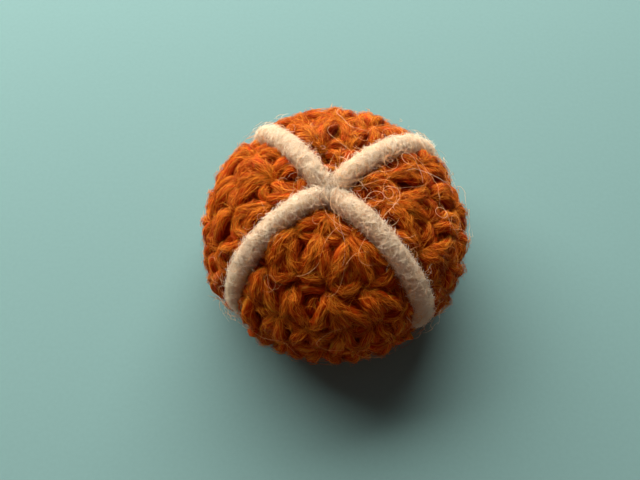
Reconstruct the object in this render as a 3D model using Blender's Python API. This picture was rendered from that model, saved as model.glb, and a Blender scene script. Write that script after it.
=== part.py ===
"""A small crocheted wool toy in the shape of a hot cross bun.

One stuffed bun, worked in rounds of single crochet from the middle of its top, and four runs of
cream yarn sewn over it as the cross. Metres, +Z up. The bun stands on z = 0, with its middle on the
Z axis, and the cross's two front arms point towards -Y.
"""

import math

import bmesh
import bpy
import numpy as np
from mathutils import Vector

# The bun, measured over its stitches
BUN_WIDTH = 0.0420
RISE = 0.0153  # from the widest level up to the top
SAG = 0.0088  # from the widest level down to the base
SHOULDER = 2.3  # how square the side is above the widest level; 2 is an ellipse
HEEL = 2.3  # how square it is below
BASE_RADIUS = 0.0085  # the flat spot that it stands on

# The crochet
STITCHES = (6, 12, 18, 24, 24, 24, 24, 18, 12, 6)  # in each round, from the top down
ROUND_HEIGHTS = (4.4, 3.6, 8.3, 5.4, 5.2, 5.0, 5.0, 5.0, 5.0, 4.9)  # against each other
CROWN_DIP = 0.0021  # how far the fabric is drawn down in the middle of the top
CROWN_REACH = 0.0088  # how far out along the bun that is felt
CREST = 0.0006  # a stitch's leg above the middle of the fabric
HOLLOW = 0.0006  # the gap between stitches below it
LEG_WIDTH = 0.21  # of a stitch's width
LEG_SPLAY = (0.13, 0.31)  # a leg's distance from the stitch's middle, at its top and at its foot
LEAN = 0.5  # how far each round's stitches move on from those above, in stitches

# The cross
ARM_WIDTH = 0.0033
ARM_LIFT = 0.0002  # the yarn's middle above the middle of the fabric, on the crown
ARM_SINK = 0.0010  # how much lower it lies by its outer end, where it is pulled tight
ARM_GAP = 0.0003  # round each arm, and between the four at the middle
ARM_START = 0.0007  # the distance of each arm's inner end from where the four meet
CROSS_SHIFT = (-0.00105, -0.00045)  # of the place where they meet, from the bun's middle, along X and Y
SHIFT_REACH = 0.0070  # how far along an arm that shift fades out
CENTRE_DIP = 0.0014  # how far the arms are pulled down at the middle
CENTRE_REACH = 0.0052  # how far out that pull is felt
END_DIP = 0.0008  # how much further its outer end dives into the bun
END_REACH = 0.0042
END_SIZE = 0.45  # of the full width, at its rounded outer end
ARM_SHARE = 80.0  # the angle that each arm may fill where the four are squeezed together
GROOVE_TOP = 1.6  # how far a groove's walls reach above the arm's middle, in half widths
GROOVE_STRETCH = (2.0, 1.2)  # squares off its upper half, across and upwards
DIMPLE_DEPTH = 0.0034  # the hole in the middle of the first round, under the arms
DIMPLE_RADIUS = 0.0036
# Direction at the middle and at the outer end in degrees, length along the bun, and how thick it still is
# towards that end
ARMS = {
    "cross_arm_front_left": (-151.0, -136.0, 0.0285, 0.76),
    "cross_arm_front_right": (-43.5, -46.0, 0.0281, 1.06),
    "cross_arm_back_right": (49.0, 41.0, 0.0260, 1.30),
    "cross_arm_back_left": (131.0, 130.0, 0.0240, 0.95),
}
TAPER_SHARE = 0.4  # of an arm's length, over which it comes to that thickness

# How finely the faceted shapes are divided
COLUMNS = 96
ROWS_PER_ROUND = 3
ARM_SIDES = 12
ARM_RINGS = 22
PROFILE_SAMPLES = 2000
TOLERANCE = 1e-6

MATERIALS = {
    "bun_wool": (0.50, 0.115, 0.016),
    "cross_wool": (0.86, 0.75, 0.58),
}


class Profile:
    """The half outline of the bun through the middle of its fabric, from the top to the base."""

    def __init__(self):
        half_width = BUN_WIDTH / 2 - CREST
        turn = np.linspace(0.0, math.pi / 2, PROFILE_SAMPLES)
        upper = np.column_stack(
            [half_width * np.sin(turn) ** (2 / SHOULDER), (RISE - CREST) * np.cos(turn) ** (2 / SHOULDER)]
        )
        lower = np.column_stack([half_width * np.cos(turn) ** (2 / HEEL), -SAG * np.sin(turn) ** (2 / HEEL)])
        points = np.vstack([upper, lower[1:]])
        steps = np.hypot(*np.diff(points, axis=0).T)
        self.arc = np.concatenate([[0.0], np.cumsum(steps)])
        self.radius = points[:, 0]
        self.height = points[:, 1]
        self.length = self.arc[-1]

    def at(self, arc):
        """The radius and the height above the widest level at this distance from the top."""
        return np.interp(arc, self.arc, self.radius), np.interp(arc, self.arc, self.height)

    def normal(self, arc):
        """The outward direction there, as its radial and its vertical part."""
        nudge = self.length / PROFILE_SAMPLES
        before, after = self.at(max(arc - nudge, 0.0)), self.at(arc + nudge)
        along = Vector((after[0] - before[0], after[1] - before[1])).normalized()
        return -along.y, along.x

    def arc_of(self, radius, height):
        """The distance from the top of a point that lies on the outline."""
        turns = np.arctan2(self.height, self.radius)
        return float(np.interp(-math.atan2(height, radius), -turns, self.arc))


def round_edges(length):
    """The distance from the top of each edge between two rounds."""
    share = np.concatenate([[0.0], np.cumsum(ROUND_HEIGHTS)])
    return length * share / share[-1]


def stitch_relief(arc, azimuth, edges):
    """Height of the crochet over the middle of its fabric: two legs for each stitch, apart at the foot."""
    row = min(int(np.searchsorted(edges, arc, side="right")) - 1, len(STITCHES) - 1)
    down = (arc - edges[row]) / (edges[row + 1] - edges[row])
    across = azimuth / (2 * math.pi) * STITCHES[row] - row * LEAN
    across -= round(across)
    splay = LEG_SPLAY[0] + (LEG_SPLAY[1] - LEG_SPLAY[0]) * down
    leg = math.exp(-(((abs(across) - splay) / LEG_WIDTH) ** 2))
    fullness = math.sin(math.pi * min(max(down, 0.0), 1.0)) ** 0.4
    return (CREST + HOLLOW) * leg * fullness - HOLLOW


def smooth_fall(distance, reach):
    """One at no distance, easing to nothing at the reach."""
    part = min(max(distance / reach, 0.0), 1.0)
    return 1.0 - part * part * (3.0 - 2.0 * part)


def dimple(radius):
    """How far the fabric is drawn down at this distance from the axis, for the cross to dive in."""
    near = max(0.0, 1.0 - (radius / DIMPLE_RADIUS) ** 4)
    return DIMPLE_DEPTH * math.sqrt(near)


def make_material(name, colour):
    material = bpy.data.materials.new(name)
    material.diffuse_color = (*colour, 1.0)
    material.use_nodes = True
    shader = material.node_tree.nodes["Principled BSDF"]
    shader.inputs["Base Color"].default_value = (*colour, 1.0)
    shader.inputs["Roughness"].default_value = 0.95
    shader.inputs["Metallic"].default_value = 0.0
    return material


def make_object(name, bm, material):
    """Turns a closed bmesh into a named object with smooth shading."""
    bmesh.ops.recalc_face_normals(bm, faces=bm.faces)
    mesh = bpy.data.meshes.new(name)
    bm.to_mesh(mesh)
    bm.free()
    mesh.shade_smooth()
    mesh.materials.append(material)
    obj = bpy.data.objects.new(name, mesh)
    bpy.context.scene.collection.objects.link(obj)
    return obj


def make_bun(profile, material):
    """The stuffed bun: the outline turned round the axis, with the stitches raised on it."""
    edges = round_edges(profile.length)
    arcs = [0.0]
    for start, end in zip(edges, edges[1:]):
        arcs += [start + (end - start) * (step + 1) / ROWS_PER_ROUND for step in range(ROWS_PER_ROUND)]
    outline = [profile.at(arc) for arc in arcs]
    outline = [point for point in outline if point[0] > BASE_RADIUS or point[1] > 0.0]
    outline.append((BASE_RADIUS, -SAG))

    bm = bmesh.new()
    verts = [bm.verts.new((radius, 0.0, height)) for radius, height in outline]
    lines = [bm.edges.new(pair) for pair in zip(verts, verts[1:])]
    bmesh.ops.spin(
        bm,
        geom=verts + lines,
        cent=(0.0, 0.0, 0.0),
        axis=(0.0, 0.0, 1.0),
        angle=2 * math.pi,
        steps=COLUMNS,
        use_merge=True,
    )
    bmesh.ops.remove_doubles(bm, verts=bm.verts, dist=1e-7)
    rim = [edge for edge in bm.edges if edge.is_boundary]
    bmesh.ops.contextual_create(bm, geom=rim)

    for vert in bm.verts:
        radius = math.hypot(vert.co.x, vert.co.y)
        azimuth = math.atan2(vert.co.y, vert.co.x)
        if vert.co.z > -SAG + TOLERANCE:
            arc = profile.arc_of(radius, vert.co.z)
            lift = stitch_relief(arc, azimuth, edges) - CROWN_DIP * smooth_fall(arc, CROWN_REACH)
            out, up = profile.normal(arc)
            vert.co.x += lift * out * math.cos(azimuth)
            vert.co.y += lift * out * math.sin(azimuth)
            vert.co.z = max(vert.co.z + lift * up, -SAG)
            if up > 0:
                vert.co.z -= dimple(math.hypot(vert.co.x - CROSS_SHIFT[0], vert.co.y - CROSS_SHIFT[1]))
        vert.co.z += SAG
    return make_object("bun_body", bm, material)


def arm_course(name, profile):
    """The middle, the sideways and outward directions, and the half sizes of each ring along an arm."""
    start_turn, end_turn, reach, thick = ARMS[name]
    half = ARM_WIDTH / 2
    rings = []
    for step in range(ARM_RINGS + 1):
        share = step / ARM_RINGS
        arc = ARM_START + (reach - ARM_START) * share
        to_end = reach - arc
        radius, height = profile.at(arc)
        out, up = profile.normal(arc)
        azimuth = math.radians(start_turn + (end_turn - start_turn) * share)
        radial = Vector((math.cos(azimuth), math.sin(azimuth), 0.0))
        side = Vector((-math.sin(azimuth), math.cos(azimuth), 0.0))
        normal = radial * out + Vector((0.0, 0.0, up))
        lift = ARM_LIFT - ARM_SINK * share**2
        lift -= CENTRE_DIP * smooth_fall(arc, CENTRE_REACH) + END_DIP * smooth_fall(to_end, END_REACH)
        middle = radial * radius + Vector((0.0, 0.0, height + SAG)) + normal * lift
        middle += Vector((*CROSS_SHIFT, 0.0)) * math.exp(-arc / SHIFT_REACH)
        rounding = math.sqrt(1.0 - (1.0 - min(to_end / half, 1.0)) ** 2)
        size = half * (END_SIZE + (1.0 - END_SIZE) * rounding)
        size *= 1.0 - (1.0 - thick) * smooth_fall(to_end, TAPER_SHARE * reach)
        wide = min(size, radius * math.tan(math.radians(ARM_SHARE / 2)) - ARM_GAP / 2)
        rings.append((middle, side, normal, wide, size))
    return rings


def make_strand(name, rings, material):
    """A closed tube through rings of points."""
    bm = bmesh.new()
    loops = []
    for ring in rings:
        verts = [bm.verts.new(point) for point in ring]
        loops.append([bm.edges.new(pair) for pair in zip(verts, verts[1:] + verts[:1])])
    for near, far in zip(loops, loops[1:]):
        bmesh.ops.bridge_loops(bm, edges=near + far)
    for loop in (loops[0], loops[-1]):
        bmesh.ops.contextual_create(bm, geom=loop)
    return make_object(name, bm, material)


def make_arm(name, profile, material):
    """One arm of the cross: a round strand laid over the bun, squeezed at the middle, diving at its end."""
    rings = []
    for middle, side, normal, wide, tall in arm_course(name, profile):
        turns = [2 * math.pi * corner / ARM_SIDES for corner in range(ARM_SIDES)]
        rings.append([middle + side * (wide * math.cos(turn)) + normal * (tall * math.sin(turn)) for turn in turns])
    return make_strand(name, rings, material)


def make_groove(name, profile, material):
    """The shape that an arm's groove is cut with: round below the arm, and straight up beside it."""
    rings = []
    for middle, side, normal, wide, tall in arm_course(name, profile):
        ring = []
        for corner in range(ARM_SIDES):
            turn = 2 * math.pi * corner / ARM_SIDES
            across, above = math.cos(turn), math.sin(turn)
            if above > TOLERANCE:
                across = max(-1.0, min(1.0, GROOVE_STRETCH[0] * across))
                above = min(1.0, GROOVE_STRETCH[1] * above) * GROOVE_TOP
            ring.append(middle + side * (wide + ARM_GAP) * across + normal * (tall + ARM_GAP) * above)
        rings.append(ring)
    for end, inner in ((rings[0], rings[1]), (rings[-1], rings[-2])):
        onward = (end[0] + end[ARM_SIDES // 2] - inner[0] - inner[ARM_SIDES // 2]).normalized() * ARM_GAP
        end[:] = [point + onward for point in end]
    return make_strand(name + "_groove", rings, material)


def cut(body, cutter):
    """Takes the cutter's shape out of the body."""
    cutter.hide_render = True
    cutter.display_type = "WIRE"
    modifier = body.modifiers.new("Groove for " + cutter.name, "BOOLEAN")
    modifier.operation = "DIFFERENCE"
    modifier.solver = "EXACT"
    modifier.object = cutter


def main():
    for old in list(bpy.data.objects):
        bpy.data.objects.remove(old)
    materials = {name: make_material(name, colour) for name, colour in MATERIALS.items()}
    profile = Profile()
    bun = make_bun(profile, materials["bun_wool"])
    for name in ARMS:
        make_arm(name, profile, materials["cross_wool"])
        cut(bun, make_groove(name, profile, materials["cross_wool"]))


main()
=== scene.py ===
"""The looks of a small crocheted wool toy in the shape of a hot cross bun.

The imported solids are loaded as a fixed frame. A stuffed core, rounds of crocheted yarn, a cross of four runs
of cream wool, and the fibres and stray hairs on all of them are made round it. Metres, +Z up.
"""

import math
from collections import namedtuple

import bmesh
import bpy
import numpy as np
from bpy.props import FloatProperty, FloatVectorProperty, IntProperty, IntVectorProperty, PointerProperty
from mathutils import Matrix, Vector


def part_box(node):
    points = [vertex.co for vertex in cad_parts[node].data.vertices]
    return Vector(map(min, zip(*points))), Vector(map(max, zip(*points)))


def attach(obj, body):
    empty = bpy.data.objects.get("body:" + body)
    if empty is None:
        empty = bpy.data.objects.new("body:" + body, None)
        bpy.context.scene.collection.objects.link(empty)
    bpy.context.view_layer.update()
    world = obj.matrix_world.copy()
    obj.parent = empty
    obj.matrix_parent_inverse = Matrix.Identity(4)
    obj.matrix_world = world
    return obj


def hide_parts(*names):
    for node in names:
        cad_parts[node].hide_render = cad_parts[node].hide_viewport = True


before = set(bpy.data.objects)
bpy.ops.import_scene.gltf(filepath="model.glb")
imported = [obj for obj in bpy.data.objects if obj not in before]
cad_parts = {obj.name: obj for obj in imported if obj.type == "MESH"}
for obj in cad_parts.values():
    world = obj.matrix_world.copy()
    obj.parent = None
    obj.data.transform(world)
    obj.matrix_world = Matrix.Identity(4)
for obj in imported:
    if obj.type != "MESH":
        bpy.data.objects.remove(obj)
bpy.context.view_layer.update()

bl_info = {
    "name": "Crocheted Hot Cross Bun",
    "version": (1, 0, 0),
    "blender": (4, 5, 0),
    "location": "View3D > Sidebar > Crochet Bun",
    "description": "Makes a stuffed crocheted bun with a cross of cream wool",
    "category": "Add Mesh",
}

BUN_LOW, BUN_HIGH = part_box("bun_body")
BODY = "root"
MM = 0.001

# Each arm of the cross: its direction at the middle and at its outer end in degrees, its length along the
# bun, and how thick it is at that end
ARMS = {
    "cross_arm_front_left": (-151.0, -136.0, 0.0285, 0.76),
    "cross_arm_front_right": (-43.5, -46.0, 0.0281, 1.06),
    "cross_arm_back_right": (49.0, 41.0, 0.0260, 1.30),
    "cross_arm_back_left": (131.0, 130.0, 0.0240, 0.95),
}

# One leg of a stitch, point by point: how far it has come from its hole to the middle of its own stitch, how
# far across and down it is, in stitch widths and round heights, and its lift and thickness, in half widths
# of the yarn
LEG = np.array([
    (0.00, 0.03, -0.10, -2.20, 0.85),
    (0.05, 0.07, 0.02, -1.00, 0.92),
    (0.20, 0.12, 0.14, -0.15, 0.98),
    (0.45, 0.18, 0.31, 0.06, 1.02),
    (0.75, 0.26, 0.56, -0.15, 1.06),
    (1.00, 0.35, 0.80, -0.80, 1.08),
    (1.00, 0.38, 1.00, -2.20, 0.85),
])
# The loop across the foot of a stitch: across, down, lift and thickness in the same measures
LOOP = np.array([
    (-0.54, 0.76, -2.40, 0.80),
    (-0.44, 0.83, -1.25, 0.95),
    (-0.23, 0.94, -0.62, 1.05),
    (0.00, 1.00, -0.48, 1.10),
    (0.23, 0.94, -0.62, 1.05),
    (0.44, 0.83, -1.25, 0.95),
    (0.54, 0.76, -2.40, 0.80),
])
# The yarn that shows deep between two legs, likewise
POST = np.array([
    (-0.05, 0.06, -2.60, 0.80),
    (-0.02, 0.24, -1.45, 1.05),
    (0.00, 0.46, -1.10, 1.15),
    (0.02, 0.68, -1.10, 1.15),
    (0.05, 0.90, -2.00, 0.90),
])
# The hidden half of the loop, behind the next round's legs, likewise
BACK = np.array([
    (-0.56, 1.04, -2.20, 0.90),
    (-0.28, 1.02, -1.45, 1.05),
    (0.00, 1.01, -1.25, 1.10),
    (0.28, 1.02, -1.45, 1.05),
    (0.56, 1.04, -2.20, 0.90),
])
# The yarn that shows deep between two stitches of a round, likewise
BETWEEN = np.array([
    (0.50, -0.04, -2.60, 0.90),
    (0.50, 0.16, -1.85, 1.15),
    (0.48, 0.42, -1.60, 1.20),
    (0.50, 0.70, -1.75, 1.10),
    (0.52, 0.92, -2.40, 0.90),
])
# How many fibres each run of a stitch bears for its length: the legs, loop, post, back and between.
# Runs that bear fewer also get darker fibres, as painted shade of the deep yarn
FIBRES_BORNE_AND_SHADE = (1.0, 1.0, 0.8, 0.3, 0.15, 0.3)

# Ridges round a yarn: how many, how deep in half widths, and how fast they wind, against its twist
RIDGES = ((3, 0.070, 1.0), (5, 0.050, 0.5), (7, 0.045, -0.4), (9, 0.035, 0.7))
ARM_RIDGES = ((2, 0.020, 0.6), (3, 0.018, 0.5), (7, 0.008, 0.3))
RIDGE_PACES = (0.6, 1.4)  # how differently they wind on each run
ARM_PITCH = 0.019  # length of the arms' twist
ARM_SEED = 40

# Unevenness of whole runs of yarn and of the points on them, in half thicknesses
UNEVEN_LIFT = (0.14, 0.07)
UNEVEN_SIZE = (0.10, 0.05)
UNEVEN_POINTS = 0.5  # how far points wobble, against whole runs
UNEVEN_MOST = 2.2  # in standard deviations
RUN_ENDS = 16  # how suddenly a run's ends round off
OUTWARD = np.array([0.55, 0.55, 1.0])  # how the yarn's outer side turns with its place
OUTWARD_LEVEL = 0.6  # the height at which it faces level, in sags
TUCK_ROOM = 0.75  # between yarn and the wool on it, in the yarn's half thickness
FLOOR_ROOM = 0.96  # the same from the lowest yarn down to the floor
PULL_LEVEL = 0.0095  # how far from the top the left of the crown is pulled most
PULL_REACH = 0.0085  # how far above and below that is felt
PULL_SPREAD = math.radians(42.0)  # and how far round

TAIL_CURVES = (1.5, 1.2)  # how an arm's two ends steepen on their way into the bun
TAIL_ROLL = 0.9  # how far on the outer one goes, in half widths
TAPER_SHARE = 0.4  # of an arm, over which it comes to its end's thickness
MIDDLE_SWELL = 0.35  # of the squeezed arms, in half widths

# Shades under the fibres, as shares of a wool's colours
BUN_SPUN = (0.45, 0.85)
BUN_STREAK = 0.50
CROSS_SPUN = (0.80, 0.90, 1.0)
# The darker patches of the core, within its painted shade
STUFFING_DARK = 0.45
FLOOR_DARK = 0.965

# How far red, green and blue light go in each wool, against each other
BUN_TINT = (1.0, 0.45, 0.20)
CROSS_TINT = (1.0, 0.80, 0.60)
PATCHES = 320.0  # darker and lighter patches of wool per metre
GRAIN = (5.5, 5.5, 0.5)  # streaks per millimetre, across and along the yarn
GRAIN_SPREAD = 400.0  # how far apart two runs' grain may start

# Which rounds each piece of fibres covers, and with how many
FIBRE_GROUPS = (
    ("crown", (0, 1), 6500),
    ("shoulder", (2,), 16000),
    ("bend", (3,), 14000),
    ("side", (4, 5), 13500),
    ("base", (6, 7, 8, 9), 5000),
)

# How fibres lie: their lengths, how deep they start and how far they lift, in half thicknesses of the yarn,
# how few lift far, how far they spread round it and slant, and how many lie together
Lay = namedtuple("Lay", "lengths depths lifts rise spread slant clump")
LAID_FLAT = Lay((0.0010, 0.0032), (0.88, 1.16), (0.0, 0.35), 2.5, 0.9, 0.40, 4)
LAID_LOOSE = Lay((0.0008, 0.0024), (0.92, 1.20), (0.1, 0.7), 1.4, 1.1, 1.0, 2)
CROSS_FLAT = Lay((0.0008, 0.0028), (0.97, 1.10), (0.0, 0.35), 1.6, 1.0, 1.5, 2)
CROSS_FUZZY = Lay((0.0006, 0.0019), (0.97, 1.11), (0.05, 0.72), 1.4, 1.35, 2.3, 1)
CROSS_COUNTS = (9500, 8000)
# Stretching these tones also strengthens the painted highlights and painted shade in them
FUZZ_CONTRAST = (2.0, -0.2)  # multiplies and shifts the tones of the cross's fuzz
FUZZ_SIZE = 1.15  # against the flat fibres

# Spread within a clump: along the yarn as a share of it, round it, in depth, and as a share of its slant
CLUMP_ALONG = 0.04
CLUMP_ROUND = 0.07
CLUMP_DEPTH = 0.03
CLUMP_SLANT = 0.3
WAVER = 0.09  # of a fibre's points round the yarn
LIFT_CURVE = 1.5  # how late a fibre lifts off
BARE_ENDS = 0.04  # of a run, at each end
LONGEST_FIBRE = 0.8  # of its run

# A fibre's tone: its start, the painted highlight that facing out and lying past the level add, the painted
# shade that deep runs lose, and how clumps and single fibres differ
TONE_START = -0.24
PAINTED_LIGHT_FACING = 0.70
PAINTED_LIGHT_RAISED = 0.9
TONE_LEVEL = 0.9
PAINTED_SHADE_DEEP = 0.35
TONE_CLUMP = 0.35
TONE_OWN = 0.10

FIBRE_SIZES = (0.6, 1.5)  # against each other
FIBRE_ENDS = 0.35  # a smaller number is blunter

# How curly hairs wander: their points and the step between them, how tightly they curl, how long a curl
# lasts, and how low and high they lie over the middle of the fabric
Wander = namedtuple("Wander", "points step bend keep lifts")
LOOSE_CURLS = Wander(9, 0.00035, 900.0, 0.9, (0.0003, 0.0013))
LONG_HAIRS = Wander(34, 0.00030, 700.0, 0.98, (0.0009, 0.0020))
CROSS_CURLS = Wander(9, 0.00026, 1300.0, 0.9, (0.0008, 0.0021))
AXIS_ROOM = 0.002  # nearer the axis than this, they turn no faster
TOP_ROOM = 0.0005  # how near the top they come
CLIMB_KEEP = 0.8  # how long a climb lasts
CLIMB = 0.16  # how steep it is

OUTLINE_SAMPLES = 2000
YARN_SIDES = 20
YARN_RINGS = 20
ARM_SIDES = 40
ARM_RINGS = 90
ARM_GUIDE_RINGS = 60
TAIL_POINTS = 11
CORE_RINGS = 44
CORE_SIDES = 96
FIBRE_SIDES = 3
FIBRE_POINTS = 4
CELL_MARGIN = 0.04  # on the surface map
FLOOR_GAP = 0.00003
WELD = 1e-7
TINY = 1e-9


def length(name, description, default):
    """A size in metres."""
    return FloatProperty(name=name, description=description, default=default, unit="LENGTH", precision=5)


def number(name, description, default):
    """A plain number or share."""
    return FloatProperty(name=name, description=description, default=default, precision=3)


def colour(name, description, default):
    """A linear colour."""
    facts = {"name": name, "description": description, "default": default}
    return FloatVectorProperty(**facts, size=3, subtype="COLOR", min=0.0, max=1.0)


def for_rounds(name, description, *default, kind=FloatVectorProperty):
    """A number for each round, from the top down."""
    return kind(name=name, description=description, size=len(default), default=default)


class BunShape(bpy.types.PropertyGroup):
    """The stuffed bun under its yarn."""

    width: length("Width", "Across the widest round", BUN_HIGH.x - BUN_LOW.x)
    rise: length("Rise", "From the widest level up to the top", 0.0153)
    sag: length("Sag", "From the widest level down to the base", 0.0088)
    squareness: number("Squareness", "How square the side is, where 2 is an ellipse", 2.3)
    crest: length("Crest", "Height of the yarn over the middle of the fabric", 0.0006)
    core_depth: length("Core depth", "From the middle of the fabric in to the stuffing", 0.0016)
    dimple: length("Dimple", "How far the middle of the top is drawn down", 0.0021)
    dimple_reach: length("Dimple reach", "How far out along the bun that is felt", 0.0088)


class Crochet(bpy.types.PropertyGroup):
    """The rounds of single crochet."""

    stitches: for_rounds(
        "Stitches", "In each round", 6, 12, 18, 24, 24, 24, 24, 18, 12, 6, kind=IntVectorProperty
    )
    heights: for_rounds(
        "Heights", "Against each other", 3.4, 3.6, 8.3, 5.4, 5.2, 5.0, 5.0, 5.0, 5.0, 4.9
    )
    slides: for_rounds(
        "Slides", "How far stitches go on past their holes, in stitches",
        0.0, 0.0, 0.1, 0.4, 0.0, 0.0, 0.0, 0.0, 0.0, 0.0,
    )
    ring: length("Ring", "From the top to where the first round comes out", 0.0010)
    tallest: length("Tallest", "The most height that a stitch fills", 0.0071)
    leg: length("Leg", "Half the thickness of a stitch's leg", 0.00106)
    loop: length("Loop", "Half the thickness of the loop at its foot", 0.00096)
    post: length("Post", "Half the thickness of the yarn deep inside", 0.00095)
    spun: number("Spun share", "Thickness of the yarn without its fuzz, as a share", 0.88)
    lean: number("Lean", "How far each hole lies before its stitch's middle, in stitches", 0.5)
    start: number("Start", "Direction of the first stitch, in degrees", -133.0)
    wobble: number("Wobble", "Unevenness of the stitches, in stitch widths", 0.065)
    pull: length("Pull", "How far the fabric is pulled down on the left of the crown", 0.0024)
    pitch: length("Twist pitch", "Length of yarn per turn of its strands", 0.020)
    seed: IntProperty(name="Seed", description="Of the unevenness", default=3)


class Cross(bpy.types.PropertyGroup):
    """The four runs of cream wool."""

    width: length("Width", "Of the wool", 0.0030)
    lift: length("Lift", "Its middle above the fabric's, on the crown", 0.0002)
    sink: length("Sink", "How much lower it lies by its outer end", 0.0010)
    gap: length("Gap", "Between the four at the middle", 0.0003)
    shift: length("Shift", "Of the place where they meet from the middle, along X", -0.00105)
    shift_back: length("Shift back", "The same along Y", -0.00045)
    shift_reach: length("Shift reach", "How far along an arm the shift fades out", 0.0070)
    dip: length("Dip", "How far they are pulled down at the middle", 0.0014)
    dip_reach: length("Dip reach", "How far out that pull is felt", 0.0052)
    end_dip: length("End dip", "How much further an outer end dives", 0.0008)
    end_reach: length("End reach", "Length of an arm over which it does", 0.0042)
    start: length("Start", "Distance of the inner ends from where they meet", 0.0007)
    share: number("Share", "Angle that each may fill, in degrees", 88.0)
    tail: length("Tail", "How deep both ends go on into the bun", 0.0035)


class Fuzz(bpy.types.PropertyGroup):
    """Fibres and stray hairs."""

    thickness: length("Thickness", "Half the thickness of a fibre on the bun", 0.000025)
    loose_share: number("Loose share", "Of the bun's fibres, which stand off the yarn", 0.36)
    cross_thickness: length("Cross thickness", "Half the thickness of a fibre on the cross", 0.000024)
    curl_thickness: length("Curl thickness", "Half the thickness of a loose fibre", 0.000018)
    hair_thickness: length("Hair thickness", "Half the thickness of a stray hair", 0.000021)


class WoolColours(bpy.types.PropertyGroup):
    """The colours of the wools and of the floor."""

    bun_spun: colour("Bun, spun", "The bun's yarn under its fibres", (0.46, 0.052, 0.0026))
    bun_dark: colour("Bun, dark", "Darkest yarn of the bun", (0.36, 0.017, 0.0010))
    bun_middle: colour("Bun, middle", "Most of the bun's yarn", (0.56, 0.059, 0.0026))
    bun_light: colour("Bun, light", "Lightest yarn of the bun", (1.00, 0.470, 0.044))
    # Painted shade: the core's dark colour stands in for the shade in the holes between the stitches
    stuffing: colour("Stuffing", "What shows between the stitches", (0.12, 0.008, 0.001))
    cross_dark: colour("Cross, dark", "Darkest wool of the cross", (0.66, 0.49, 0.34))
    cross_middle: colour("Cross, middle", "Most of the cross", (0.97, 0.80, 0.59))
    cross_light: colour("Cross, light", "Lightest wool of the cross", (1.00, 0.94, 0.82))
    hair: colour("Stray hair", "Pale hairs that have come off the cross", (1.00, 0.62, 0.30))
    floor: colour("Floor", "The plain floor", (0.137, 0.264, 0.272))


class Stage(bpy.types.PropertyGroup):
    """The camera, the lights and the floor."""

    elevation: number("Elevation", "Of the camera over the floor, in degrees", 62.5)
    distance: length("Distance", "From the camera to the bun's widest level", 0.1285)
    lens: number("Lens", "Focal length in millimetres, on a 36 mm sensor", 44.59)
    aim_across: number("Aim across", "How far left of the bun it looks, in distances", 0.0171)
    aim_down: number("Aim down", "How far below the bun's middle it looks, in distances", 0.0066)
    floor_size: length("Floor size", "Side of the square floor", 1.2)


class CrochetBun(bpy.types.PropertyGroup):
    """All of the toy's settings."""

    shape: PointerProperty(type=BunShape)
    crochet: PointerProperty(type=Crochet)
    cross: PointerProperty(type=Cross)
    fuzz: PointerProperty(type=Fuzz)
    colours: PointerProperty(type=WoolColours)
    stage: PointerProperty(type=Stage)


# ---- the bun's outline


def around(out, turn, up):
    """Points or directions from how far out they go, which way and how far up."""
    return np.stack(np.broadcast_arrays(out * np.cos(turn), out * np.sin(turn), up), axis=-1)


class Outline:
    """The half outline of the bun through the middle of its fabric, from the top to the base."""

    def __init__(self, shape):
        half_width = shape.width / 2 - shape.crest
        power = 2 / shape.squareness
        crown = shape.rise - shape.crest
        turn = np.linspace(0.0, math.pi / 2, OUTLINE_SAMPLES)
        upper = np.column_stack([half_width * np.sin(turn) ** power, crown * np.cos(turn) ** power])
        lower = np.column_stack([half_width * np.cos(turn) ** power, -shape.sag * np.sin(turn) ** power])
        points = np.vstack([upper, lower[1:]])
        self.arc = np.concatenate([[0.0], np.cumsum(np.hypot(*np.diff(points, axis=0).T))])
        self.radius = points[:, 0]
        self.height = points[:, 1] + shape.sag
        self.length = float(self.arc[-1])
        along = np.gradient(points, axis=0)
        along /= np.linalg.norm(along, axis=1, keepdims=True)
        self.out, self.up = -along[:, 1], along[:, 0]

    def radius_at(self, arc):
        """Distance from the axis at this distance from the top."""
        return np.interp(arc, self.arc, self.radius)

    def normal(self, turn, arc):
        """The outward direction there."""
        return around(np.interp(arc, self.arc, self.out), turn, np.interp(arc, self.arc, self.up))

    def place(self, turn, arc, lift=0.0):
        """Points in these directions and at these distances from the top, moved out by the lift."""
        level = around(self.radius_at(arc), turn, np.interp(arc, self.arc, self.height))
        return level + self.normal(turn, arc) * np.asarray(lift)[..., None]


def smooth_fall(distance, reach):
    """One at no distance, easing to nothing at the reach."""
    part = np.clip(distance / reach, 0.0, 1.0)
    return 1.0 - part * part * (3.0 - 2.0 * part)


def smooth_path(points, samples):
    """Catmull-Rom curves through each row of points."""
    first = 2 * points[:, :1] - points[:, 1:2]
    last = 2 * points[:, -1:] - points[:, -2:-1]
    knots = np.concatenate([first, points, last], axis=1)
    place = np.linspace(0.0, points.shape[1] - 1, samples)
    low = np.minimum(place.astype(int), points.shape[1] - 2)
    part = (place - low)[None, :, None]
    a, b, c, d = (knots[:, low + step] for step in range(4))
    bend = (2 * a - 5 * b + 4 * c - d) * part**2
    return 0.5 * (2 * b + (c - a) * part + bend + (3 * b - a - 3 * c + d) * part**3)


def travelled(rows):
    """How far each point lies along its row."""
    steps = np.linalg.norm(np.diff(rows, axis=1), axis=-1)
    return np.concatenate([np.zeros((len(rows), 1)), np.cumsum(steps, axis=1)], axis=1)


def unit(rows):
    """Directions of the same rows, one long."""
    return rows / np.maximum(np.linalg.norm(rows, axis=-1, keepdims=True), TINY)


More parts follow.
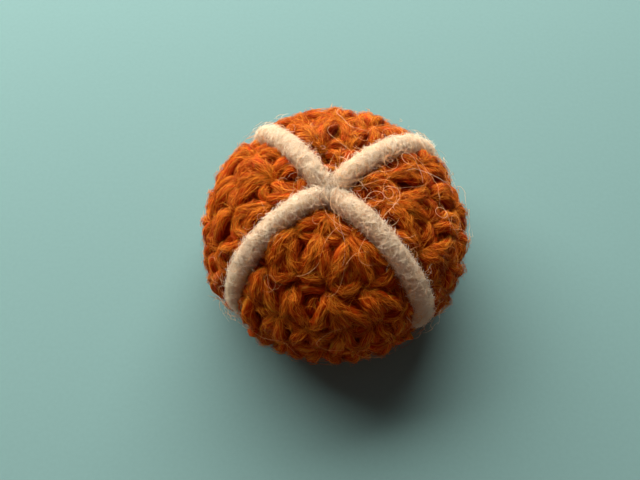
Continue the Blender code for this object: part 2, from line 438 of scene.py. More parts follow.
class Strands:
    """Runs of yarn with the same number of points each: their middles, half sizes and directions."""

    def __init__(self, middles, wide, tall, outward, worth_and_shade=None):
        self.middles = middles
        self.wide = wide
        self.tall = tall
        # This also darkens the fibres of runs that bear few, as painted shade
        self.worth_and_shade = np.ones(len(middles)) if worth_and_shade is None else worth_and_shade
        self.along = unit(np.gradient(middles, axis=1))
        self.outward = unit(outward - self.along * (outward * self.along).sum(-1, keepdims=True))
        self.side = np.cross(self.along, self.outward)
        self.travel = travelled(middles)

    def ridged(self, points, ridges, pitch, rng):
        """The points of tubes round these strands, with ridges that wind along each of them."""
        sides = points.shape[2]
        turn = 2 * np.pi * np.arange(sides) / sides
        size = np.ones(points.shape[:3])
        for waves, depth, pace in ridges:
            phase = rng.uniform(0.0, 2 * np.pi, (len(points), 1, 1))
            paces = pace * rng.uniform(*RIDGE_PACES, (len(points), 1, 1))
            wind = paces * 2 * np.pi * self.travel[..., None] / pitch
            size += depth * np.cos(waves * (turn + wind) + phase)
        middles = self.middles[:, :, None]
        return middles + (points - middles) * size[..., None]

    def surface(self, which, along, angle, away):
        """Points on or off the yarn: which run, the share of its length, the turn from its outer side, and
        how far from its middle, in half sizes."""
        last = self.middles.shape[1] - 1
        place = np.clip(along, 0.0, 1.0) * last
        low = np.minimum(place.astype(int), last - 1)
        part = (place - low)[..., None]

        def between(rows):
            rows = rows if rows.ndim == 3 else rows[..., None]
            return rows[which, low] * (1 - part) + rows[which, low + 1] * part

        up = between(self.outward) * between(self.tall) * (np.cos(angle) * away)[..., None]
        across = between(self.side) * between(self.wide) * (np.sin(angle) * away)[..., None]
        return between(self.middles) + up + across


# ---- making pieces


def link(name, data):
    """Puts a mesh, a light or a camera into the scene as an object."""
    thing = bpy.data.objects.new(name, data)
    bpy.context.scene.collection.objects.link(thing)
    return thing


def point_at(thing, place, target):
    """Puts a light or a camera there and turns it to the target."""
    thing.location = place
    thing.rotation_euler = (target - thing.location).to_track_quat("-Z", "Y").to_euler()


def add_piece(name, mesh, material, nodes=()):
    """A finished piece, with what it rides on and the solids that it replaces."""
    mesh.materials.append(material)
    piece = link(name, mesh)
    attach(piece, BODY)
    if nodes:
        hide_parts(*nodes)
    return piece


def section(sides):
    """A round cross section, one in half width, as a guide for curves."""
    curve = bpy.data.curves.new("section", "CURVE")
    spline = curve.splines.new("POLY")
    spline.points.add(sides - 1)
    turn = 2 * np.pi * np.arange(sides) / sides
    rows = np.column_stack([np.cos(turn), np.sin(turn), np.zeros(sides), np.ones(sides)])
    spline.points.foreach_set("co", rows.astype(np.float32).ravel())
    spline.use_cyclic_u = True
    return bpy.data.objects.new("section", curve)


def bake_cells(mesh, count):
    """Gives each of the mesh's tubes a cell of its own on the surface map."""
    layer = mesh.uv_layers[0]
    layer.name = "OFBake"
    places = np.empty(len(mesh.loops) * 2, np.float32)
    layer.data.foreach_get("uv", places)
    places = places.reshape(-1, 2)
    columns = math.ceil(math.sqrt(count))
    rows = math.ceil(count / columns)
    tube = np.arange(len(places)) // (len(places) // count)
    cell = np.column_stack([tube % columns, tube // columns])
    places = (cell + CELL_MARGIN + (1 - 2 * CELL_MARGIN) * places) / np.array([columns, rows])
    layer.data.foreach_set("uv", places.astype(np.float32).ravel())


def tubes(name, middles, sizes, sides, tones=None, grain_seed=None, reshape=None):
    """A closed tube along each row of middles, in one mesh. It ends in a point where its size is nothing, and
    its points hold its tone and their place round and along it, in millimetres, for the grain."""
    count, rings = middles.shape[:2]
    guide = section(sides)
    curve = bpy.data.curves.new(name, "CURVE")
    curve.dimensions = "3D"
    curve.bevel_mode = "OBJECT"
    curve.bevel_object = guide
    rows = np.concatenate([middles, np.ones((count, rings, 1))], axis=-1).astype(np.float32)
    sizes = np.broadcast_to(sizes, (count, rings)).astype(np.float32)
    for row, size in zip(rows, sizes):
        spline = curve.splines.new("POLY")
        spline.points.add(rings - 1)
        spline.points.foreach_set("co", row.ravel())
        spline.points.foreach_set("radius", size)
        spline.use_smooth = True
    holder = link(name, curve)
    seen = holder.evaluated_get(bpy.context.evaluated_depsgraph_get())
    mesh = bpy.data.meshes.new_from_object(seen)
    bpy.data.objects.remove(holder)
    bpy.data.objects.remove(guide)
    bpy.data.curves.remove(curve)
    mesh.name = name
    bake_cells(mesh, count)

    points = np.empty(len(mesh.vertices) * 3, np.float32)
    mesh.vertices.foreach_get("co", points)
    points = points.reshape(count, rings, sides, 3)
    if reshape:
        points = reshape(points)
    points[..., 2] = np.maximum(points[..., 2], FLOOR_GAP)
    mesh.vertices.foreach_set("co", points.astype(np.float32).ravel())
    if tones is not None:
        layer = mesh.attributes.new("tone", "FLOAT", "POINT")
        layer.data.foreach_set("value", np.repeat(tones, rings * sides).astype(np.float32))
    if grain_seed is not None:
        turn = 2 * np.pi * np.arange(sides) / sides
        widest = sizes.max(axis=1)[:, None, None]
        grain = around(widest, turn, travelled(middles)[..., None]) / MM
        grain += np.random.default_rng(grain_seed).uniform(0.0, GRAIN_SPREAD, (count, 1, 1, 3))
        layer = mesh.attributes.new("grain", "FLOAT_VECTOR", "POINT")
        layer.data.foreach_set("vector", grain.astype(np.float32).ravel())

    bm = bmesh.new()
    bm.from_mesh(mesh)
    bmesh.ops.remove_doubles(bm, verts=bm.verts, dist=WELD)
    bmesh.ops.reverse_faces(bm, faces=bm.faces)
    bm.to_mesh(mesh)
    bm.free()
    mesh.shade_smooth()
    return mesh


# ---- materials


def add_node(tree, kind, inputs=(), **settings):
    """A node with its settings, and its inputs as values or as the outputs that feed them."""
    node = tree.nodes.new(kind)
    for name, value in settings.items():
        setattr(node, name, value)
    for key, value in dict(inputs).items():
        if isinstance(value, bpy.types.NodeSocket):
            tree.links.new(value, node.inputs[key])
        else:
            node.inputs[key].default_value = value
    return node


def plain_shader(name, roughness, shine, tint=(1.0, 1.0, 1.0)):
    """A material with a Principled shader, and that shader."""
    material = bpy.data.materials.new(name)
    material.use_nodes = True
    shader = material.node_tree.nodes["Principled BSDF"]
    shader.inputs["Roughness"].default_value = roughness
    shader.inputs["Specular IOR Level"].default_value = shine
    shader.inputs["Specular Tint"].default_value = (*tint, 1.0)
    return material, shader


def ramp(tree, factor, stops):
    """A colour ramp fed by a factor."""
    node = add_node(tree, "ShaderNodeValToRGB", {"Fac": factor})
    marks = node.color_ramp.elements
    while len(marks) < len(stops):
        marks.new(0.5)
    for mark, (place, shade) in zip(marks, stops):
        mark.position = place
        mark.color = (*shade, 1.0)
    return node.outputs["Color"]


def maths(tree, operation, *values):
    """A Math node's output."""
    return add_node(tree, "ShaderNodeMath", enumerate(values), operation=operation).outputs[0]


def weighed(tree, first, second, share):
    """This share of the first value, and the second for the rest."""
    parts = [maths(tree, "MULTIPLY", *pair) for pair in ((first, share), (second, 1.0 - share))]
    return maths(tree, "ADD", *parts)


def dimmed(shade, share):
    """A colour with this share of its light."""
    return [share * part for part in shade]


def patches(tree, scale, detail=3.0):
    """Soft patches over a whole piece, from its own coordinates."""
    place = add_node(tree, "ShaderNodeTexCoord").outputs["Object"]
    noise = add_node(tree, "ShaderNodeTexNoise", {"Vector": place, "Scale": scale, "Detail": detail})
    return noise.outputs["Fac"]


def mottled_material(name, roughness, shine, scale, detail, stops):
    """A plain material with soft patches of these shades."""
    material, shader = plain_shader(name, roughness, shine)
    tree = material.node_tree
    shades = ramp(tree, patches(tree, scale, detail), stops)
    tree.links.new(shades, shader.inputs["Base Color"])
    return material


def yarn_material(name, shades, bump, glow, tint):
    """Spun wool: streaks of fibre along the yarn, this high, in darker and lighter patches. Light spreads
    inside as far as the glow and in the tint."""
    material, shader = plain_shader(name, roughness=0.8, shine=0.15, tint=shades[2])
    tree = material.node_tree
    grain = add_node(tree, "ShaderNodeAttribute", attribute_name="grain").outputs["Vector"]
    stretched = add_node(tree, "ShaderNodeVectorMath", enumerate((grain, GRAIN)), operation="MULTIPLY")
    noise = {"Vector": stretched.outputs[0], "Scale": 1.0, "Detail": 4.0}
    streaks = add_node(tree, "ShaderNodeTexNoise", noise).outputs["Fac"]
    mixed = weighed(tree, streaks, patches(tree, PATCHES), share=0.7)
    tones = ramp(tree, mixed, list(zip((0.38, 0.50, 0.64), shades)))
    tree.links.new(tones, shader.inputs["Base Color"])
    relief = add_node(tree, "ShaderNodeBump", {"Height": streaks, "Strength": 1.0, "Distance": bump})
    tree.links.new(relief.outputs["Normal"], shader.inputs["Normal"])
    for key, value in (("Weight", 1.0), ("Radius", tint), ("Scale", glow)):
        shader.inputs["Subsurface " + key].default_value = value
    return material


def fibre_material(name, shades, roughness, shine, through, lightest=0.8):
    """Single fibres that let this share of the light through. Tones past the lightest look like it."""
    material, shader = plain_shader(name, roughness, shine, shades[2])
    tree = material.node_tree
    tone = add_node(tree, "ShaderNodeAttribute", attribute_name="tone").outputs["Fac"]
    mixed = weighed(tree, tone, patches(tree, PATCHES), share=0.75)
    tones = ramp(tree, mixed, list(zip((0.2, 0.5, lightest), shades)))
    tree.links.new(tones, shader.inputs["Base Color"])
    clear = add_node(tree, "ShaderNodeBsdfTranslucent", {"Color": tones})
    mixes = (through, shader.outputs["BSDF"], clear.outputs["BSDF"])
    both = add_node(tree, "ShaderNodeMixShader", enumerate(mixes))
    tree.links.new(both.outputs["Shader"], tree.nodes["Material Output"].inputs["Surface"])
    return material


def wool_shades(colours, wool):
    """Dark, middle and light of the bun's or the cross's wool."""
    return [getattr(colours, f"{wool}_{shade}") for shade in ("dark", "middle", "light")]


# ---- the cross


def arm_strands(kit, name, points):
    """One arm as a strand, with both ends going on down into the bun."""
    cross = kit.cross
    outline = Outline(kit.shape)
    start_turn, end_turn, reach, thin = ARMS[name]
    half = cross.width / 2
    tail = np.linspace(1.0, 0.0, TAIL_POINTS + 1)[:-1]
    run = np.linspace(0.0, 1.0, points)
    none = np.zeros_like(tail)
    share = np.concatenate([none, run, np.ones_like(tail)])
    before = np.concatenate([tail, 0 * run, none])
    after = before[::-1]
    arc = cross.start + (reach - cross.start) * share
    turn = np.radians(start_turn + (end_turn - start_turn) * share)
    lift = cross.lift - cross.sink * share**2
    end_dip = cross.end_dip * smooth_fall(reach - arc, cross.end_reach)
    lift -= cross.dip * smooth_fall(arc, cross.dip_reach) + end_dip
    lift -= cross.tail * (before ** TAIL_CURVES[0] + after ** TAIL_CURVES[1])
    middles = outline.place(turn, arc + after**0.5 * TAIL_ROLL * half, lift)
    middles[:, :2] += np.array([cross.shift, cross.shift_back]) * np.exp(-arc / cross.shift_reach)[:, None]
    taper = 1.0 - (1.0 - thin) * smooth_fall(reach - arc, TAPER_SHARE * reach)
    tall = half * taper * np.sqrt(np.clip(1.0 - np.maximum(before, after) ** 2, 0.0, 1.0))
    squeezed = outline.radius_at(arc) * math.tan(math.radians(cross.share / 2)) - cross.gap / 2
    squeezed += MIDDLE_SWELL * half * smooth_fall(arc - cross.start, cross.dip_reach)
    wide = np.minimum(tall, squeezed)
    return Strands(middles[None], wide[None], tall[None], outline.normal(turn, arc)[None])


def all_arms(kit):
    """The four arms as strands, for what lies under them or on them."""
    return [arm_strands(kit, name, ARM_GUIDE_RINGS) for name in ARMS]


def tuck_under(points, room, outward, arms, half):
    """Presses yarn in where the cross lies on it, with this room between a point and the wool."""
    moved = points.copy()
    flat = moved.reshape(-1, 3)
    space = (np.broadcast_to(room, points.shape[:-1]) + half).ravel()
    inward = -outward.reshape(-1, 3)
    for arm in arms:
        lying = slice(TAIL_POINTS, -TAIL_POINTS)
        middles, sides, ups = arm.middles[0, lying], arm.side[0, lying], arm.outward[0, lying]
        gaps = np.linalg.norm(flat[:, None] - middles[None], axis=-1)
        near = gaps.argmin(axis=1)
        offset = flat - middles[near]
        across = (offset * sides[near]).sum(-1)
        above = (offset * ups[near]).sum(-1)
        beyond = np.abs((offset * arm.along[0, lying][near]).sum(-1)) > space
        under = -np.sqrt(np.clip(space**2 - across**2, 0.0, None))
        press = np.where(beyond | (np.abs(across) > space), 0.0, np.clip(above - under, 0.0, None))
        flat += inward * press[:, None]
    return moved


class CROCHET_OT_cross_arms(bpy.types.Operator):
    """Lay the four runs of cream wool over the bun"""

    bl_idname = "crochet_bun.cross_arms"
    bl_label = "Arms of the cross"

    def execute(self, context):
        kit = context.scene.crochet_bun
        spun = [dimmed(kit.colours.cross_middle, share) for share in CROSS_SPUN]
        material = yarn_material("cross_wool", spun, bump=0.00005, glow=0.0045, tint=CROSS_TINT)
        for order, node in enumerate(ARMS):
            name = node + "_wool"
            strands = arm_strands(kit, node, ARM_RINGS)
            seed = ARM_SEED + order
            rng = np.random.default_rng(seed)

            def squeeze(points, strands=strands, rng=rng):
                points = strands.ridged(points, ARM_RIDGES, ARM_PITCH, rng)
                offset = points - strands.middles[:, :, None]
                side = strands.side[:, :, None]
                across = (offset * side).sum(-1, keepdims=True)
                narrower = strands.wide / np.maximum(strands.tall, TINY)
                return points + side * across * (narrower[..., None, None] - 1.0)

            mesh = tubes(name, strands.middles, strands.tall, ARM_SIDES, None, seed, squeeze)
            add_piece(name, mesh, material, [node])
        return {"FINISHED"}


# ---- the bun


class CROCHET_OT_core(bpy.types.Operator):
    """Make the stuffed core, coloured dark as painted shade where it shows between the stitches"""

    bl_idname = "crochet_bun.core"
    bl_label = "Stuffed core"

    def execute(self, context):
        kit = context.scene.crochet_bun
        shape = kit.shape
        outline = Outline(shape)
        arcs = np.linspace(0.0, outline.length, CORE_RINGS)
        lift = -shape.core_depth - shape.dimple * smooth_fall(arcs, shape.dimple_reach)
        profile = outline.place(np.zeros_like(arcs), arcs, lift)
        profile[[0, -1], 0] = 0.0
        bm = bmesh.new()
        verts = [bm.verts.new(point) for point in profile]
        lines = [bm.edges.new(pair) for pair in zip(verts, verts[1:])]
        turn = {"cent": (0, 0, 0), "axis": (0, 0, 1), "angle": 2 * math.pi, "steps": CORE_SIDES}
        bmesh.ops.spin(bm, geom=verts + lines, use_merge=True, **turn)
        bmesh.ops.remove_doubles(bm, verts=bm.verts, dist=WELD)
        bmesh.ops.recalc_face_normals(bm, faces=bm.faces)
        mesh = bpy.data.meshes.new("bun_core")
        bm.to_mesh(mesh)
        bm.free()
        mesh.shade_smooth()
        # The core's dark colour is painted shade for the holes between the stitches
        light = kit.colours.stuffing
        stops = [(0.35, dimmed(light, STUFFING_DARK)), (0.65, light)]
        tufts = {"roughness": 0.95, "shine": 0.1, "scale": 900.0, "detail": 5.0}
        material = mottled_material("stuffing", stops=stops, **tufts)
        piece = add_piece("bun_core", mesh, material, ["bun_body"])
        return {"FINISHED"}


def round_edges(kit, outline):
    """The distance from the top of each edge between two rounds."""
    share = np.concatenate([[0.0], np.cumsum(kit.crochet.heights)])
    return kit.crochet.ring + (outline.length - kit.crochet.ring) * share / share[-1]


def stitch_turns(crochet):
    """For each round, the direction of each stitch's middle and of the hole that it is worked into."""
    rounds = []
    holes = None
    for row, count in enumerate(crochet.stitches):
        steps = 2 * math.pi * np.arange(count) / count
        if row == 0:
            middles = math.radians(crochet.start) + steps
            rounds.append((middles, middles))
        else:
            before = len(rounds[-1][0])
            parent = np.arange(count) * before / count
            parent = np.floor(parent + TINY) if count > before else parent
            sources = holes[0] + 2 * math.pi * parent / before
            middles = np.mean(sources - steps) + steps + crochet.slides[row] * 2 * math.pi / count
            rounds.append((middles, sources))
        holes = rounds[-1][0] - crochet.lean * 2 * math.pi / count
    return rounds


def pulled(crochet, turn, arc):
    """The distance from the top once the fabric is pulled down on the left of the crown."""
    off = np.abs((turn + 2 * math.pi) % (2 * math.pi) - math.pi)
    level = smooth_fall(np.abs(arc - PULL_LEVEL), PULL_REACH)
    return arc + crochet.pull * level * np.exp(-((off / PULL_SPREAD) ** 2))


def round_strands(kit, row, arms):
    """All runs of yarn of one round, one kind after another."""
    crochet, shape = kit.crochet, kit.shape
    outline = Outline(shape)
    edges = round_edges(kit, outline)
    middles, sources = stitch_turns(crochet)[row]
    count = len(middles)
    rng = np.random.default_rng(crochet.seed + 10 * row)
    pitch = 2 * math.pi / count
    high = edges[row + 1] - edges[row]
    filled = min(high, crochet.tallest)

    def uneven(size, *counts):
        return rng.normal(0.0, size, counts).clip(-UNEVEN_MOST * size, UNEVEN_MOST * size)

    kinds = []
    for side in (-1.0, 1.0):
        way, across, down, lift, size = LEG.T
        turn = sources[:, None] + (middles - sources)[:, None] * way + side * across * pitch
        kinds.append((turn, down * filled, lift, size, crochet.leg))
    hidden = [(table, crochet.post, high) for table in (POST, BACK, BETWEEN)]
    for table, half, reach in ((LOOP, crochet.loop, filled), *hidden):
        across, down, lift, size = table.T
        turn = middles[:, None] + across * pitch
        kinds.append((turn, down * reach, lift, size, half))

    tall_stitch = uneven(crochet.wobble, count, 1)
    wobble = (crochet.wobble, UNEVEN_POINTS * crochet.wobble)
    paths, sizes = [], []
    for turn, down, lift, size, half in kinds:
        knots = turn.shape[1]
        turn = turn + (uneven(wobble[0], count, 1) + uneven(wobble[1], count, knots)) * pitch
        down = down * (1.0 + tall_stitch) + uneven(wobble[1], count, knots) * high
        arc = pulled(crochet, turn, np.clip(edges[row] + down, 0.0, outline.length))
        raised = (lift + uneven(UNEVEN_LIFT[0], count, 1) + uneven(UNEVEN_LIFT[1], count, knots)) * half
        raised = raised - shape.dimple * smooth_fall(arc, shape.dimple_reach)
        paths.append(smooth_path(outline.place(turn, arc, raised), YARN_RINGS))
        size = size * half * (1.0 + uneven(UNEVEN_SIZE[0], count, 1) + uneven(UNEVEN_SIZE[1], count, knots))
        sizes.append(smooth_path(size[..., None], YARN_RINGS)[..., 0])
    middles = np.concatenate(paths)
    sizes = np.concatenate(sizes)
    sizes *= np.sqrt(np.clip(1.0 - np.linspace(-1.0, 1.0, YARN_RINGS) ** RUN_ENDS, 0.0, 1.0))

    outward = unit(middles * OUTWARD - np.array([0.0, 0.0, OUTWARD_LEVEL * shape.sag]))
    middles = tuck_under(middles, TUCK_ROOM * sizes, outward, arms, 0.5 * kit.cross.width)
    middles[..., 2] = np.maximum(middles[..., 2], FLOOR_ROOM * sizes)
    return Strands(middles, sizes, sizes, outward, np.repeat(FIBRES_BORNE_AND_SHADE, count))


class CROCHET_OT_rounds(bpy.types.Operator):
    """Crochet the rounds of the bun, one piece for each"""

    bl_idname = "crochet_bun.rounds"
    bl_label = "Rounds of crochet"

    def execute(self, context):
        kit = context.scene.crochet_bun
        crochet, colours = kit.crochet, kit.colours
        arms = all_arms(kit)
        spun = [dimmed(colours.bun_spun, share) for share in BUN_SPUN]
        spun.append(dimmed(colours.bun_light, BUN_STREAK))
        material = yarn_material("bun_wool", spun, bump=0.00020, glow=0.0009, tint=BUN_TINT)
        for row in range(len(crochet.stitches)):
            name = f"bun_round_{row + 1:02d}"
            strands = round_strands(kit, row, arms)
            rng = np.random.default_rng(seed=20 + row)

            def ridge(points, strands=strands, rng=rng):
                return strands.ridged(points, RIDGES, crochet.pitch, rng)

            mesh = tubes(name, strands.middles, crochet.spun * strands.tall, YARN_SIDES, None, row, ridge)
            add_piece(name, mesh, material, ["bun_body"])
        return {"FINISHED"}


# ---- fibres and hairs


def join_strands(parts):
    """Several sets of strands as one. All have the same number of points."""
    keys = ("middles", "wide", "tall", "outward", "worth_and_shade")
    return Strands(*[np.concatenate([getattr(part, key) for part in parts]) for key in keys])


def laid_fibres(strands, count, lay, rng):
    """Fibres along the yarn in small clumps, which lift off towards their far ends, and their tones, with
    painted highlights and painted shade in them.
    """
    bearing = strands.travel[:, -1] * strands.worth_and_shade
    clumps = math.ceil(count / lay.clump)

    def shared(values):
        return np.repeat(values, lay.clump, axis=0)[:count]

    def own(size, *rest):
        return rng.normal(0.0, size, (count, *rest))

    which = shared(rng.choice(len(bearing), clumps, p=bearing / bearing.sum()))
    share = np.minimum(rng.uniform(*lay.lengths, count) / strands.travel[which, -1], LONGEST_FIBRE)
    place = np.clip(shared(rng.uniform(0.0, 1.0, clumps)) + own(CLUMP_ALONG), 0.0, 1.0)
    start = BARE_ENDS + (1.0 - 2 * BARE_ENDS - share) * place
    step = np.linspace(0.0, 1.0, FIBRE_POINTS)
    forward = shared(rng.choice([-1.0, 1.0], clumps))[:, None]
    along = start[:, None] + share[:, None] * (0.5 + forward * (step - 0.5))
    angle = shared(rng.normal(0.0, lay.spread, clumps)) + own(CLUMP_ROUND)
    slant = shared(rng.normal(0.0, lay.slant, clumps)) + own(CLUMP_SLANT * lay.slant)
    angle = angle[:, None] + slant[:, None] * (step - 0.5) + own(WAVER, FIBRE_POINTS)
    low, high = lay.lifts
    raised = rng.uniform(0.0, 1.0, count) ** lay.rise * (high - low) + low
    depth = shared(rng.uniform(*lay.depths, clumps)) + own(CLUMP_DEPTH)
    away = depth[:, None] + raised[:, None] * step**LIFT_CURVE + own(CLUMP_DEPTH, FIBRE_POINTS)
    # Painted light: fibres that face out or stand off the yarn are lighter, as a painted highlight, and fibres
    # on deep runs are darker, as painted shade
    outer = PAINTED_LIGHT_FACING * np.cos(angle).mean(axis=1) + PAINTED_LIGHT_RAISED * (away.mean(axis=1) - TONE_LEVEL)
    outer -= PAINTED_SHADE_DEEP * (1.0 - strands.worth_and_shade[which])
    tones = TONE_START + TONE_CLUMP * shared(rng.uniform(0.0, 1.0, clumps)) + outer + own(TONE_OWN)
    paths = strands.surface(np.broadcast_to(which[:, None], along.shape), along, angle, away)
    return paths, np.clip(tones, 0.0, 1.0)


def wandering(outline, turn, arc, wander, rng):
    """Rows of points for curly hairs that wander over the bun from these places."""
    count = len(turn)
    heading = rng.uniform(-math.pi, math.pi, count)
    curl = rng.normal(0.0, wander.bend, count)
    height = rng.uniform(*wander.lifts, count)
    climb = np.zeros(count)
    change = math.sqrt(1.0 - wander.keep**2) * wander.bend
    step = wander.step
    rows = []
    for _ in range(wander.points):
        rows.append(outline.place(turn, arc, height))
        curl = wander.keep * curl + rng.normal(0.0, change, count)
        heading = heading + curl * step
        turn = turn + np.cos(heading) * step / np.maximum(outline.radius_at(arc), AXIS_ROOM)
        arc = np.abs(arc + np.sin(heading) * step - TOP_ROOM) + TOP_ROOM
        arc = outline.length - np.abs(outline.length - arc)
        climb = CLIMB_KEEP * climb + rng.normal(0.0, CLIMB * step, count)
        height = np.clip(height + climb, *wander.lifts)
    return np.stack(rows, axis=1)


def fibre_piece(name, rows, half, material, rng, tones=None):
    """Makes rows of points into a piece of fibres of about this half thickness."""
    count, points = rows.shape[:2]
    ends = np.sin(np.pi * np.linspace(0.0, 1.0, points)) ** FIBRE_ENDS
    ends[[0, -1]] = 0.0
    sizes = half * rng.uniform(*FIBRE_SIZES, (count, 1)) * ends
    tones = rng.uniform(0.0, 1.0, count) if tones is None else tones
    rows[..., 2] = np.maximum(rows[..., 2], 2 * half)
    add_piece(name, tubes(name, rows, sizes, FIBRE_SIDES, tones), material)


class CROCHET_OT_bun_fibres(bpy.types.Operator):
    """Comb short wool fibres along the bun's yarn"""

    bl_idname = "crochet_bun.bun_fibres"
    bl_label = "Fibres on the bun"

    def execute(self, context):
        kit = context.scene.crochet_bun
        fuzz = kit.fuzz
        arms = all_arms(kit)
        look = {"roughness": 0.38, "shine": 0.60, "through": 0.42, "lightest": 0.92}
        material = fibre_material("bun_fibres", wool_shades(kit.colours, "bun"), **look)
        for order, (group, rows, count) in enumerate(FIBRE_GROUPS):
            rng = np.random.default_rng(seed=100 + order)
            strands = join_strands([round_strands(kit, row, arms) for row in rows])
            loose = int(fuzz.loose_share * count)
            flat = laid_fibres(strands, count - loose, LAID_FLAT, rng)
            risen = laid_fibres(strands, loose, LAID_LOOSE, rng)
            paths, tones = (np.concatenate(pair) for pair in zip(flat, risen))
            fibre_piece("bun_fibres_" + group, paths, fuzz.thickness, material, rng, tones)
        return {"FINISHED"}


class CROCHET_OT_curls(bpy.types.Operator):
    """Scatter curly fibres that have worked loose from the bun's yarn"""

    bl_idname = "crochet_bun.curls"
    bl_label = "Loose fibres on the bun"

    def execute(self, context):
        kit = context.scene.crochet_bun
        outline = Outline(kit.shape)
        rng = np.random.default_rng(seed=150)
        look = {"roughness": 0.45, "shine": 0.25, "through": 0.42}
        material = fibre_material("loose_fibres", wool_shades(kit.colours, "bun"), **look)
        count = 1500
        nearest, farthest = 0.002, 0.75
        turn = rng.uniform(-math.pi, math.pi, count)
        arc = outline.length * np.sqrt(rng.uniform(nearest, farthest, count))
        rows = wandering(outline, turn, arc, LOOSE_CURLS, rng)
        fibre_piece("bun_loose_fibres", rows, kit.fuzz.curl_thickness, material, rng)
        return {"FINISHED"}


class CROCHET_OT_cross_fibres(bpy.types.Operator):
    """Lay short fibres over the cream wool, and a looser fuzz"""

    bl_idname = "crochet_bun.cross_fibres"
    bl_label = "Fibres on the cross"

    def execute(self, context):
        kit = context.scene.crochet_bun
        thin = kit.fuzz.cross_thickness
        look = {"roughness": 0.3, "shine": 0.8, "through": 0.5}
        material = fibre_material("cross_fibres", wool_shades(kit.colours, "cross"), **look)
        rng = np.random.default_rng(seed=200)
        strands = join_strands(all_arms(kit))
        flat, fuzzy = CROSS_COUNTS
        paths, tones = laid_fibres(strands, flat, CROSS_FLAT, rng)
        fibre_piece("cross_fibres", paths, thin, material, rng, tones)
        paths, tones = laid_fibres(strands, fuzzy, CROSS_FUZZY, rng)
        # This stretches the painted highlights and painted shade in the tones along with the rest
        contrast, shift = FUZZ_CONTRAST
        tones = np.clip(contrast * tones + shift, 0.0, 1.0)
        fibre_piece("cross_fuzz", paths, FUZZ_SIZE * thin, material, rng, tones)
        return {"FINISHED"}


class CROCHET_OT_hairs(bpy.types.Operator):
    """Scatter long curly hairs over the bun, and short curls over the cross"""

    bl_idname = "crochet_bun.hairs"
    bl_label = "Curly hairs"

    def execute(self, context):
        kit = context.scene.crochet_bun
        colours, fuzz = kit.colours, kit.fuzz
        outline = Outline(kit.shape)
        rng = np.random.default_rng(seed=300)
        shades = (colours.hair, colours.hair, colours.cross_middle)
        pale = fibre_material("stray_hair", shades, roughness=0.4, shine=0.5, through=0.3)

        count = 48
        facing, spread = -10.0, 75.0
        nearest, farthest = 0.003, 0.028
        turn = np.radians(rng.normal(facing, spread, count))
        arc = rng.uniform(nearest, farthest, count)
        rows = wandering(outline, turn, arc, LONG_HAIRS, rng)
        fibre_piece("stray_hairs", rows, fuzz.hair_thickness, pale, rng)

        count = 420
        inmost, spread = 0.08, 0.55
        start_turn, end_turn, reach, _ = np.array(list(ARMS.values()))[rng.integers(0, len(ARMS), count)].T
        share = rng.uniform(inmost, 1.0, count)
        arc = reach * share
        aside = rng.normal(0.0, spread, count) * kit.cross.width / outline.radius_at(arc)
        turn = np.radians(start_turn + (end_turn - start_turn) * share) + aside
        rows = wandering(outline, turn, arc, CROSS_CURLS, rng)
        fibre_piece("cross_curls", rows, fuzz.curl_thickness, pale, rng)
        return {"FINISHED"}


# ---- the stage


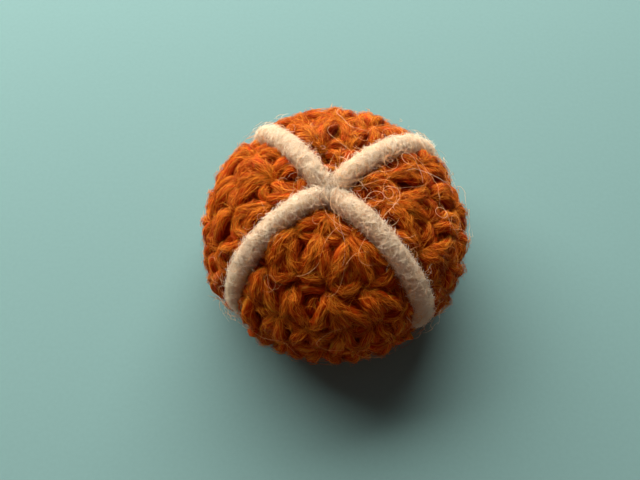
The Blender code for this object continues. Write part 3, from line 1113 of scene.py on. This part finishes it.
class CROCHET_OT_stage(bpy.types.Operator):
    """Set up the plain floor, the soft light and the camera"""

    bl_idname = "crochet_bun.stage"
    bl_label = "Stage"

    def execute(self, context):
        kit = context.scene.crochet_bun
        stage = kit.stage
        scene = context.scene
        bm = bmesh.new()
        bmesh.ops.create_grid(bm, x_segments=1, y_segments=1, size=stage.floor_size / 2)
        mesh = bpy.data.meshes.new("floor")
        bm.to_mesh(mesh)
        bm.free()
        floor = link("floor", mesh)
        plain = kit.colours.floor
        stops = [(0.3, dimmed(plain, FLOOR_DARK)), (0.7, plain)]
        flecks = {"roughness": 0.9, "shine": 0.2, "scale": 1500.0, "detail": 2.0}
        mesh.materials.append(mottled_material("floor", stops=stops, **flecks))

        tilt = math.radians(stage.elevation)
        target = Vector((0.0, 0.0, kit.shape.sag))
        back = Vector((0.0, -math.cos(tilt), math.sin(tilt)))
        up = Vector((0.0, math.sin(tilt), math.cos(tilt)))
        camera_data = bpy.data.cameras.new("camera")
        camera_data.sensor_width = 36.0
        camera_data.lens = stage.lens
        camera_data.clip_start = 5 * MM
        left = Vector((stage.aim_across, 0.0, 0.0)) * stage.distance
        aim = target - left - up * stage.aim_down * stage.distance
        scene.camera = link("camera", camera_data)
        point_at(scene.camera, target + back * stage.distance, aim)

        def lamp(name, place, size, power, tint):
            light = bpy.data.lights.new(name, "AREA")
            light.shape = "RECTANGLE"
            light.size, light.size_y = size
            light.energy = power
            light.color = tint
            point_at(link(name, light), place, target)

        def toward(elevation, azimuth, distance):
            up_angle, side_angle = math.radians(elevation), math.radians(azimuth)
            flat = distance * math.cos(up_angle)
            high = distance * math.sin(up_angle)
            return target + Vector((-flat * math.sin(side_angle), flat * math.cos(side_angle), high))

        window = toward(elevation=34.0, azimuth=20.0, distance=0.38)
        lamp("window", window, size=(0.70, 0.36), power=7.8, tint=(1.0, 0.90, 0.80))
        front = toward(elevation=30.0, azimuth=180.0, distance=0.38)
        lamp("fill", front, size=(0.25, 0.25), power=0.19, tint=(1.0, 0.32, 0.16))
        world = bpy.data.worlds.new("room")
        world.use_nodes = True
        background = world.node_tree.nodes["Background"]
        background.inputs["Color"].default_value = (0.80, 0.92, 1.0, 1.0)
        background.inputs["Strength"].default_value = 0.06
        scene.world = world
        scene.view_settings.view_transform = "Standard"
        return {"FINISHED"}


OPERATORS = (
    CROCHET_OT_stage,
    CROCHET_OT_core,
    CROCHET_OT_rounds,
    CROCHET_OT_cross_arms,
    CROCHET_OT_bun_fibres,
    CROCHET_OT_curls,
    CROCHET_OT_cross_fibres,
    CROCHET_OT_hairs,
)


class CROCHET_PT_bun(bpy.types.Panel):
    """The steps that make the bun"""

    bl_label = "Crochet Bun"
    bl_idname = "CROCHET_PT_bun"
    bl_space_type = "VIEW_3D"
    bl_region_type = "UI"
    bl_category = "Crochet Bun"

    def draw(self, context):
        for operator in OPERATORS:
            self.layout.operator(operator.bl_idname)


CLASSES = (BunShape, Crochet, Cross, Fuzz, WoolColours, Stage, CrochetBun, *OPERATORS, CROCHET_PT_bun)


def register():
    for each in CLASSES:
        bpy.utils.register_class(each)
    bpy.types.Scene.crochet_bun = PointerProperty(type=CrochetBun)


def unregister():
    del bpy.types.Scene.crochet_bun
    for each in reversed(CLASSES):
        bpy.utils.unregister_class(each)


def main():
    register()
    for operator in OPERATORS:
        group, step = operator.bl_idname.split(".")
        getattr(getattr(bpy.ops, group), step)()


if __name__ == "__main__":
    main()
